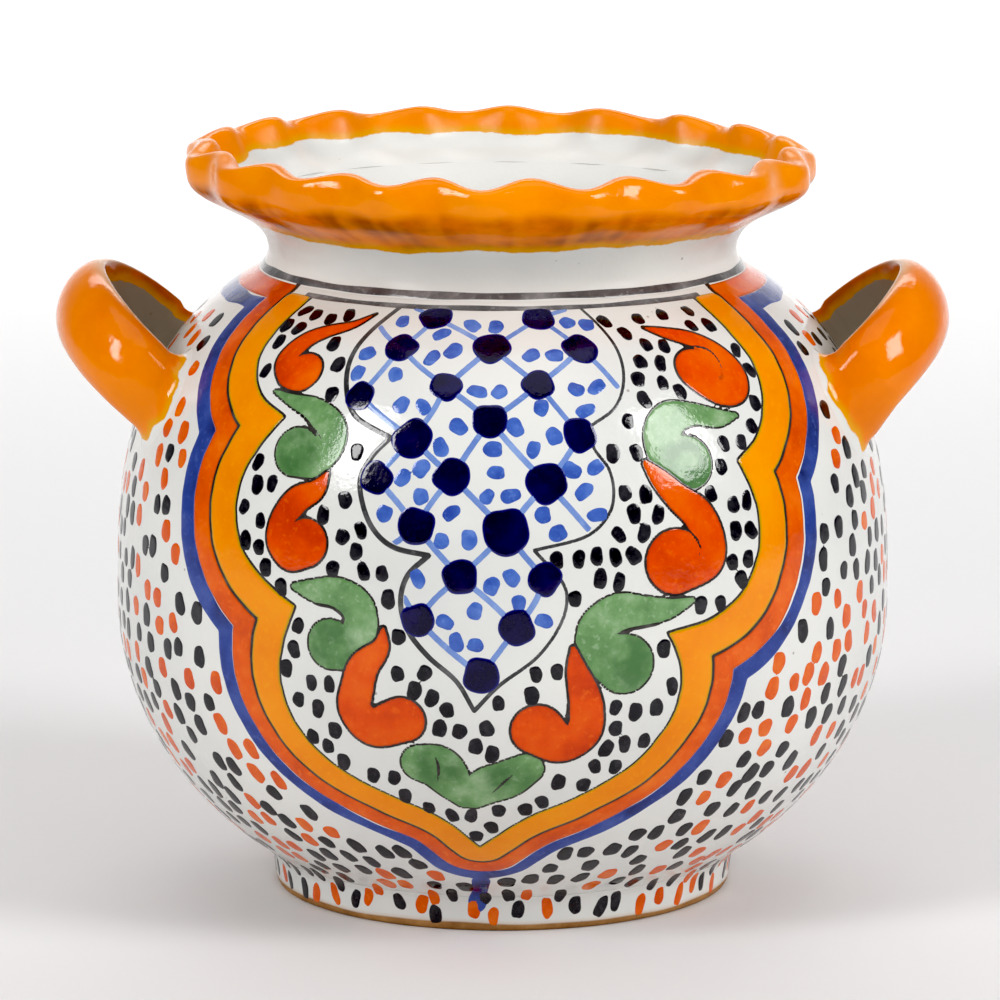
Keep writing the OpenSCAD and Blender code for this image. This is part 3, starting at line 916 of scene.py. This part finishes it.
def bands(sheet, seed, inner, below_ring, under_ring):
    """The gold, red and blue bands round a panel with their dark lines, and the distance past them."""
    width = band_share(ROW_T)[:, None]
    wave = (0.25 * hand_wave(sheet.angles * 2, seed)[None, :]
            + 0.2 * hand_wave(ROW_T * 4, seed + 1)[:, None])
    d = inner / width + wave
    past_gold = d - GOLD_W
    across_gold = np.abs(d - GOLD_W / 2)
    rounded = np.hypot(np.maximum(below_ring + GOLD_END, 0), across_gold) - GOLD_W / 2
    gold_end = np.maximum(below_ring, np.where(below_ring > -GOLD_END, rounded, -9))
    around = np.minimum(past_gold, -under_ring - 0.3)
    red = np.abs(around - RED_W / 2 - LINE_W) - RED_W / 2
    uneven = 0.35 * hand_wave(sheet.angles, seed + 7, ((9, 0.8), (16, 0.7), (31, 0.5)))[None, :]
    blue = np.abs(around - BLUE_EDGE - BLUE_W / 2) - BLUE_W / 2 - uneven
    blue = np.maximum(blue, np.maximum(under_ring, BLUE_EDGE - around))
    drop = through(on_path([(-4.5, 15.5, 2.4), (-5.2, 11.5, 2.0), (-6, 8.0, 2.4), (-6.3, 6.5, 1.6)]), 0.5)
    sheet.stroke(blue, drop)
    dark = np.minimum(np.abs(d + 0.1) - 0.5, np.abs(past_gold - LINE_W / 2) - 1.0)
    return {"gold": np.maximum(across_gold - GOLD_W / 2, gold_end),
            "red_band": np.maximum(red, np.maximum(under_ring, LINE_W - past_gold)),
            "blue_band": blue,
            "band_lines": np.maximum(dark, np.where(d > GOLD_W * 0.7, under_ring, below_ring)),
            "outside": np.minimum(around - BLUE_EDGE - BLUE_W, FAR)}


def medallion(sheet, draw, wander, medal, below_ring):
    """The medallion's outline, blobs, lattice and light-blue dots."""
    half = mix(0.68, 0.42, smooth(sheet.angles, -14, 8))[None, :]
    blobs, lattice, dots = sheet.blank(), sheet.blank(), sheet.blank()
    spots = [(a + draw.uniform(-wander, wander), path_at(z + draw.uniform(-wander, wander)), r)
             for a, z, r in BLOBS]
    for a, t, r in spots:
        sheet.dab(blobs, a, t, r * draw.uniform(0.94, 1.08), r * draw.uniform(0.94, 1.08),
                  draw.uniform(0, 3), draw.uniform(0, 6), 0.7)
    links = [(spots[i][:2], spots[j][:2]) for chain in LATTICE for i, j in zip(chain, chain[1:])]
    links += [(spots[i][:2], (end[0], path_at(end[1]))) for i, end in LATTICE_ENDS]
    for (a0, t0), (a1, t1) in links:
        sag = draw.uniform(-0.5, 0.5)
        line = through([(a0, t0), ((a0 + a1) / 2 + sag, (t0 + t1) / 2), (a1, t1)], 0.5)
        wide = draw.uniform(0.65, 0.8)
        sheet.stroke(lattice, [(a, t, wide) for a, t in line])
    busy = np.minimum(np.minimum(blobs, lattice), -medal - 0.3)
    top_t = path_at(TOP_EDGE) - 2.4
    scatter(sheet, dots, busy, draw, 5.9, (1.6, 2.05), (2.0, 2.7), 0.1, top_t, path_at(66), tilt=None)
    return {"medal_line": np.maximum(np.abs(medal) - half, below_ring), "blobs": blobs,
            "lattice": np.maximum(np.maximum(lattice, medal + 0.8), below_ring), "light_dots": dots}


def scrolls(sheet, draw, wander):
    """The red and green comma scrolls, their outlines and curls, and the thick pigment in their heads."""
    red, green, heads, curls = (sheet.blank() for _ in range(4))
    for target, spines in ((green, GREEN_SCROLLS), (red, RED_SCROLLS)):
        for spine in nudged(spines, draw, wander * 0.5, wander * 0.6):
            sheet.stroke(target, through(on_path(spine), 0.5))
            angle, t, half = max(on_path(spine)[-3:], key=lambda p: p[2])
            sheet.disc(heads, angle, t, half, 14.0)
    for curl in CURLS:
        line = through(on_path(curl), 0.4)
        shares = [abs(2 * k / len(line) - 0.8) for k in range(len(line))]
        sheet.stroke(curls, [(a, t, mix(0.7, 0.35, share)) for share, (a, t) in zip(shares, line)])
    either = np.minimum(red, green)
    outlines = np.minimum(np.abs(red) - 0.42, np.maximum(np.abs(green) - 0.34, 0.1 - red))
    return {"scroll_lines": np.minimum(outlines, np.maximum(curls, either - 0.6)), "red_scrolls": red,
            "green_scrolls": np.maximum(green, 0.2 - red), "heads": heads}, either


def blue_pools(sheet):
    """Where the blue ran together, outside the cusps of the gold band."""
    pools = sheet.blank()
    for lobe in GOLD_LOBES[:-1]:
        a, z = lobe[-1]
        across, down = (math.copysign(12.5, a), 3) if z > 60 else (0, 15)
        sheet.disc(pools, a + across, path_at(z - down), 4.5, 14.0)
    return pools


def panel(sheet, seed, wander):
    """All the films of one painted panel, as distance fields."""
    draw = random.Random(seed)
    top_t = path_at(TOP_EDGE)
    below_ring = np.repeat((ROW_T - top_t)[:, None], len(sheet.angles), 1)
    under_ring = below_ring - (path_at(RING_Z) - top_t)
    inner = sheet.contour(lobed(GOLD_LOBES))
    medal = sheet.contour(lobed(MEDAL_LOBES))
    fields = bands(sheet, seed, inner, below_ring, under_ring)
    fields.update(medallion(sheet, draw, wander, medal, below_ring))
    painted, either = scrolls(sheet, draw, wander)
    fields.update(painted)
    ground = sheet.blank()
    busy = np.minimum(np.minimum(medal - 0.6, either - 0.5), -inner - 0.2)
    scatter(sheet, ground, busy, draw, 5.4, (1.5, 1.9), (2.0, 2.6), 0.05, top_t - 1.8, path_at(26), tilt=0.25)
    fields.update(ground_dots=ground, pools=blue_pools(sheet))
    return fields


def far_apart(placed, angle, t, r, squash, gap):
    """Whether a dab's place is at least a gap from the dabs placed so far; squash weighs the height."""
    return all(math.hypot(math.radians(angle - qa) * r, (t - qt) * squash) > gap for qa, qt in placed)


def scatter(sheet, field, busy, draw, gap, half_w, half_l, room, t_top, t_low, tilt):
    """Dabs filled in by hand between everything else, roughly evenly apart."""
    tries, squash, nearest = 5, 0.8, 0.8 * gap
    placed = []
    t, odd = t_low, 0
    while t < t_top:
        r = float(np.interp(t, ROW_T, ROW_R))
        step = math.degrees(gap / r)
        a = float(sheet.angles[0]) + odd * step / 2 + draw.uniform(0, step)
        while a < sheet.angles[-1]:
            for _ in range(tries):
                pa = a + draw.uniform(-0.3, 0.3) * step
                pt = t + draw.uniform(-0.28, 0.28) * gap
                w, length = draw.uniform(*half_w), draw.uniform(*half_l)
                free = sheet.sample(busy, pa, pt) > max(w, 0.75 * length) + room
                if free and far_apart(placed[-160:], pa, pt, r, squash, nearest):
                    lean = draw.uniform(0, math.pi) if tilt is None else draw.gauss(0, tilt)
                    sheet.dab(field, pa, pt, w, length, lean, draw.uniform(0, 6))
                    placed.append((pa, pt))
                    break
            a += step
        t += gap * 0.9
        odd = 1 - odd


def side_dabs(sheet, outside, keep_off):
    """Black and orange dabs that fill both sides and the foot."""
    draw = random.Random(77)
    tries, squash, orange_share = 4, 0.74, 0.43
    black, orange = sheet.blank(), sheet.blank()
    placed = []
    t, corner = path_at(2.0) + 3.4, path_at(FOOT_H)
    while t < path_at(TOP_EDGE) - 3:
        z = float(np.interp(t, ROW_T, ROW_Z))
        r = float(np.interp(t, ROW_T, ROW_R))
        step = math.degrees(mix(6.6, 8.1, float(smooth(z, 20, 60))) / r)
        a = sheet.angles[0] + draw.uniform(0, step)
        round_up = float(smooth(z, 128, 150))
        low = 1 - float(smooth(t, corner - 1, corner + 4))
        nearest = 4.75 - 0.9 * low
        while a < sheet.angles[-1] - 0.5:
            for _ in range(tries):
                pa, pt = a + draw.uniform(-0.32, 0.32) * step, t + draw.uniform(-1.5, 1.5)
                w = draw.uniform(1.85, 2.35) * (1 - 0.27 * low)
                length = draw.uniform(2.35, 3.2) * (1 - 0.12 * round_up)
                free = (sheet.sample(outside, pa, pt) > w + 0.9
                        and sheet.sample(keep_off, pa, pt) > length * 0.8)
                if free and far_apart(placed[-260:], pa, pt, r, squash, nearest):
                    under = (1 - float(smooth(z, 20, 80))) * (1 - low)
                    swirl = -0.4 * math.sin(math.radians(2 * pa)) * under
                    target = orange if draw.random() < orange_share else black
                    sheet.dab(target, pa, pt, w, length, draw.gauss(0, 0.16) + swirl, draw.uniform(0, 6))
                    placed.append((pa, pt))
                    break
            a += step
        t += 6.0 if t > corner else 4.4
    return black, orange


def grid_triangles(value, rows, cols):
    """Triangles of the cells that the paint touches, their diagonals turned in a checker."""
    i, j = np.meshgrid(np.arange(rows - 1), np.arange(cols - 1), indexing="ij")
    a = (i * cols + j).ravel()
    b, c, d = a + 1, a + cols, a + cols + 1
    some = np.minimum(np.minimum(value[a], value[b]), np.minimum(value[c], value[d])) < 0
    a, b, c, d = a[some], b[some], c[some], d[some]
    flip = ((a // cols + a % cols) % 2 == 0)[:, None]
    first = np.where(flip, np.stack([a, b, d], 1), np.stack([a, b, c], 1))
    second = np.where(flip, np.stack([a, d, c], 1), np.stack([b, d, c], 1))
    return np.concatenate([first, second])


def turned(tris, chosen):
    """The triangles, each turned so that its chosen corner comes first."""
    turn = np.argmax(chosen, axis=1)
    return np.stack([tris[np.arange(len(tris)), (turn + k) % 3] for k in range(3)], 1)


def cut_at_edge(value, tris):
    """Faces of the part below 0, and both ends of each grid edge that its outline crosses."""
    size = len(value)
    count = (value[tris] < 0).sum(1)
    whole, one, two = (tris[count == k] for k in (3, 1, 2))
    one = turned(one, value[one] < 0)
    two = turned(two, value[two] >= 0)
    edges = np.concatenate([one[:, [0, 1]], one[:, [0, 2]], two[:, [1, 0]], two[:, [2, 0]]])
    unique, back = np.unique(edges[:, 0].astype(np.int64) * size + edges[:, 1], return_inverse=True)
    n1, n2 = len(one), len(two)
    one_a, one_b, two_b, two_c = np.split(back + size, (n1, 2 * n1, 2 * n1 + n2))
    corners = ((one[:, 0], one_a, one_b), (two_b, two[:, 1], two[:, 2]), (two_b, two[:, 2], two_c))
    faces = np.concatenate([whole] + [np.stack(face, 1) for face in corners])
    return faces, unique // size, unique % size


def film(name, field, angles, lift, material, pool=None):
    """A thin closed sheet of glaze wherever field is below 0, a little proud of the vase."""
    sunk, under = -0.02, -0.03
    rows, cols = field.shape
    value = field.ravel()
    faces, e0, e1 = cut_at_edge(value, grid_triangles(value, rows, cols))
    share = np.clip(value[e0] / (value[e0] - value[e1]), 0.02, 0.98)
    point = np.arange(rows * cols)
    row = np.concatenate([point // cols, mix(e0 // cols, e1 // cols, share)])
    col = np.concatenate([point % cols, mix(e0 % cols, e1 % cols, share)])
    depth = np.concatenate([np.maximum(-value, 0), np.zeros(len(e0))])
    used, faces = np.unique(faces, return_inverse=True)
    faces = faces.reshape(-1, 3)
    row, col, depth = row[used], col[used], depth[used]
    height = mix(sunk, lift, smooth(depth, -0.25, 0.45))
    angle = np.radians(np.interp(col, np.arange(cols), angles))
    r, z, nr, nz = (np.interp(row, np.arange(rows), v) for v in (ROW_R, ROW_Z, ROW_NR, ROW_NZ))

    def place(out):
        return np.stack([(r + nr * out) * np.sin(angle), -(r + nr * out) * np.cos(angle), z + nz * out], 1)
    n = len(row)
    verts = np.concatenate([place(height), place(np.full(n, under))])
    faces = np.concatenate([faces, faces[:, ::-1] + n])
    pooled = np.zeros(n)
    if pool is not None:
        pooled = 1 - smooth(pool[np.rint(row).astype(int), np.rint(col).astype(int)], -2.5, 2.5)
    values = {"inset": np.tile(depth, 2), "pool": np.tile(pooled, 2)}
    return new_object(name, verts, faces, material, values)


def ring_field(sheet, z, half, wave, seed):
    """Distance to a brushed ring round the vase."""
    t = path_at(z) + wave * hand_wave(sheet.angles, seed)
    thick = half * (1 + 0.12 * hand_wave(sheet.angles, seed + 1, ((7, 0.8), (19, 0.7))))
    return np.abs(ROW_T[:, None] - t[None, :]) - thick[None, :]


def neck_rings(sheet):
    """A ring round the neck, and a lower one that only crosses the top of each panel."""
    low_ring = ring_field(sheet, TOP_EDGE + 0.1, 0.9, 0.15, 43)
    off_front = np.abs((sheet.angles + 90) % 180 - 90) - 50.0
    low_ring = np.maximum(low_ring, (np.radians(off_front) * 62.0)[None, :])
    return np.minimum(ring_field(sheet, RING_Z + 0.4, 1.0, 0.15, 41), low_ring)


# Pigments: thin, body and thick colour, size of the grain, then the edge's colour, width and strength
INK = ((0.045, 0.043, 0.05), (0.012, 0.011, 0.015), (0.004, 0.004, 0.006), 160.0,
       (0.04, 0.038, 0.045), 0.5, 0.5)
PIGMENTS = {
    "ink_ground": INK,
    "ink_sides": INK,
    "grey_line": ((0.10, 0.095, 0.09), (0.035, 0.030, 0.028), (0.012, 0.010, 0.010), 150.0),
    "ring_grey": ((0.34, 0.34, 0.345), (0.13, 0.13, 0.135), (0.05, 0.05, 0.055), 90.0),
    "medal_grey": ((0.17, 0.17, 0.175), (0.055, 0.055, 0.058), (0.02, 0.02, 0.022), 110.0),
    "gold_pigment": ((0.97, 0.36, 0.004), (0.94, 0.285, 0.001), (0.84, 0.20, 0.0), 36.0,
                     (0.40, 0.33, 0.004), 0.9, 0.8),
    "red_orange_pigment": ((0.88, 0.16, 0.008), (0.78, 0.075, 0.001), (0.50, 0.028, 0.001), 60.0,
                           (0.34, 0.035, 0.002), 1.0, 0.6),
    "red_band_pigment": ((0.90, 0.20, 0.015), (0.80, 0.105, 0.001), (0.58, 0.05, 0.001), 75.0,
                         (0.30, 0.04, 0.003), 0.8, 0.5),
    "dab_orange_pigment": ((0.86, 0.20, 0.02), (0.76, 0.105, 0.003), (0.6, 0.06, 0.002), 120.0),
    "cobalt_band_pigment": ((0.075, 0.125, 0.42), (0.025, 0.055, 0.29), (0.006, 0.006, 0.07), 60.0,
                            (0.06, 0.11, 0.42), 0.8, 0.4),
    "light_blue_pigment": ((0.15, 0.27, 0.68), (0.065, 0.145, 0.52), (0.03, 0.065, 0.36), 130.0),
    "lattice_wash": ((0.30, 0.43, 0.76), (0.18, 0.29, 0.64), (0.11, 0.2, 0.54), 90.0),
    "dark_cobalt_pigment": ((0.012, 0.008, 0.09), (0.005, 0.003, 0.035), (0.003, 0.002, 0.012), 110.0,
                            (0.025, 0.03, 0.28), 0.7, 0.7),
    "green_pigment": ((0.42, 0.58, 0.36), (0.17, 0.34, 0.13), (0.06, 0.17, 0.05), 90.0,
                      (0.13, 0.26, 0.11), 0.9, 0.45)}
# Films: piece, its distance field, how proud it lies, its pigment, and where the pigment is thick
FILMS = [
    ("band_dark_lines", "band_lines", 0.05, "grey_line", None),
    ("blue_band", "blue_band", 0.08, "cobalt_band_pigment", "pools"),
    ("red_band", "red_band", 0.10, "red_band_pigment", None),
    ("gold_band", "gold", 0.13, "gold_pigment", None),
    ("neck_rings", "rings", 0.14, "ring_grey", None),
    ("medallion_outline", "medal_line", 0.06, "medal_grey", None),
    ("lattice_lines", "lattice", 0.07, "lattice_wash", None),
    ("light_blue_dots", "light_dots", 0.09, "light_blue_pigment", None),
    ("cobalt_blobs", "blobs", 0.14, "dark_cobalt_pigment", None),
    ("green_scrolls", "green_scrolls", 0.08, "green_pigment", "heads"),
    ("red_scrolls", "red_scrolls", 0.09, "red_orange_pigment", None),
    ("scroll_outlines", "scroll_lines", 0.12, "grey_line", None),
    ("ground_dots", "ground_dots", 0.11, "ink_ground", None),
    ("side_dabs_orange", "orange_dabs", 0.09, "dab_orange_pigment", None),
    ("side_dabs_black", "black_dabs", 0.10, "ink_sides", None)]
# Angles of the handle roots on either side of the grid's seam, which the dabs keep clear of
HANDLE_ROOTS = (-107, -73, 73, 107, 253, 287)


def paint_vase():
    """The front panel, the back panel painted again, and the dabs between them."""
    half_angles = np.linspace(-90, 90, HALF + 1)
    sheet = Sheet(half_angles)
    front, back = panel(sheet, 5, 0.0), panel(sheet, 6, 0.7)
    whole = {key: np.concatenate([front[key][:, :-1], back[key]], 1) for key in front}
    around = Sheet(np.concatenate([half_angles[:-1], half_angles + 180]))
    keep_off = around.blank()
    for a in HANDLE_ROOTS:
        around.disc(keep_off, a, path_at(ROOT_Z + 1), 13.5, 17.0)
    whole["black_dabs"], whole["orange_dabs"] = side_dabs(around, whole["outside"], keep_off)
    whole["rings"] = neck_rings(around)
    materials = {name: pigment(name, *colours) for name, colours in PIGMENTS.items()}
    for name, field, lift, colour, pool in FILMS:
        obj = film(name, whole[field], around.angles, lift, materials[colour], whole.get(pool))
        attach(obj, "root")


# ---- Stage, lights and camera
def plain(name, colour, rough):
    material, _, principled = shader(name)
    principled.inputs["Base Color"].default_value = (*colour, 1.0)
    principled.inputs["Roughness"].default_value = rough
    return material


def make_stage():
    """A pale floor that curves up into a pale backdrop."""
    back, rise, wide, front, turn = 2.6, 4.0, 5.0, 4.0, 1.2
    curve = [(-front, 0.0), (back - turn, 0.0)]
    curve += [(back - turn + turn * math.sin(a), turn - turn * math.cos(a))
              for a in np.linspace(0.1, math.pi / 2, 16)]
    curve.append((back, rise))
    verts = [(x, y, z) for y, z in curve for x in (-wide, wide)]
    faces = [(2 * i, 2 * i + 1, 2 * i + 3, 2 * i + 2) for i in range(len(curve) - 1)]
    mesh = bpy.data.meshes.new("stage_floor")
    mesh.from_pydata(verts, [], faces)
    mesh.shade_smooth()
    mesh.materials.append(plain("stage_paper", (0.81, 0.803, 0.803), 0.7))
    floor = bpy.data.objects.new("stage_floor", mesh)
    bpy.context.scene.collection.objects.link(floor)


def softbox(name, azimuth, elevation, distance, wide, tall, power, aim):
    """A soft light seen from the vase at an azimuth from the front towards the right, and an elevation."""
    a, e = math.radians(azimuth), math.radians(elevation)
    data = bpy.data.lights.new(name, "AREA")
    data.shape = "RECTANGLE"
    data.size, data.size_y = wide, tall
    data.energy = power
    lamp = bpy.data.objects.new(name, data)
    aim = Vector(aim)
    out = Vector((math.sin(a) * math.cos(e), -math.cos(a) * math.cos(e), math.sin(e)))
    lamp.location = aim + distance * out
    lamp.rotation_euler = (aim - lamp.location).to_track_quat("-Z", "Y").to_euler()
    bpy.context.scene.collection.objects.link(lamp)
    return data


def make_lights():
    """Softboxes left, right and above, a light on the backdrop, and a dim white room."""
    vase, backdrop = (0.0, 0.0, 0.12), (0.0, 1.9, 0.0)
    softbox("softbox_left", -50, 32, 1.7, 0.38, 0.80, 12, vase)
    softbox("softbox_right", 59, 31, 1.7, 0.56, 0.80, 15, vase)
    softbox("softbox_top", 0, 80, 2.2, 1.6, 1.6, 6, vase)
    softbox("softbox_back", 180, 88, 2.0, 2.6, 0.8, 23, backdrop).spread = math.radians(110)
    world = bpy.data.worlds.new("studio")
    world.use_nodes = True
    background = world.node_tree.nodes["Background"]
    background.inputs["Color"].default_value = (1.0, 1.0, 1.0, 1.0)
    background.inputs["Strength"].default_value = 0.30
    bpy.context.scene.world = world


def make_view():
    """Plain colours, with no film curve over them, and blacks a little crushed."""
    view = bpy.context.scene.view_settings
    view.view_transform = "Standard"
    view.look = "None"
    view.use_curve_mapping = True
    view.curve_mapping.black_level = (0.024, 0.024, 0.024)
    view.curve_mapping.update()


def make_camera():
    """A long lens from the front, a little above the rim."""
    distance, height, pitch = 1.6, 0.398, 0.184
    data = bpy.data.cameras.new("camera")
    data.sensor_width, data.lens, data.shift_x = 36.0, 225.5, -0.0025
    data.clip_start, data.clip_end = 0.1, 20.0
    camera = bpy.data.objects.new("camera", data)
    camera.location = (0.0, -distance, height)
    camera.rotation_euler = (math.pi / 2 - pitch, 0.0, 0.0)
    bpy.context.scene.collection.objects.link(camera)
    bpy.context.scene.camera = camera


# ---- The vase
def add_piece(obj, node_name):
    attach(obj, "root")
    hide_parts(node_name)


def make_vase():
    """The six clay pieces, each in the place of its own node."""
    # The third colour of each orange is the painted shade under the rim's flare and on the handles' inner
    # faces.
    rim_orange = orange_glaze("rim_orange_glaze", (0.95, 0.285, 0.001), (0.86, 0.21, 0.0), (0.64, 0.15, 0.0))
    handle_orange = orange_glaze("handle_orange_glaze", (0.92, 0.245, 0.001), (0.82, 0.175, 0.0),
                                 (0.36, 0.10, 0.002))
    add_piece(make_foot(), "foot_ring")
    add_piece(make_belly(white_glaze()), "belly")
    add_piece(make_collar(rim_orange), "neck_collar")
    add_piece(make_rim(rim_orange), "ruffled_rim")
    for name, side, tail, seed in (("left_handle", -1, 1.5, 51), ("right_handle", 1, 4.0, 61)):
        handle = make_handle(name + "_glazed", side, tail, handle_orange, seed)
        add_piece(handle, name)


make_vase()
paint_vase()
make_stage()
make_lights()
make_camera()
make_view()
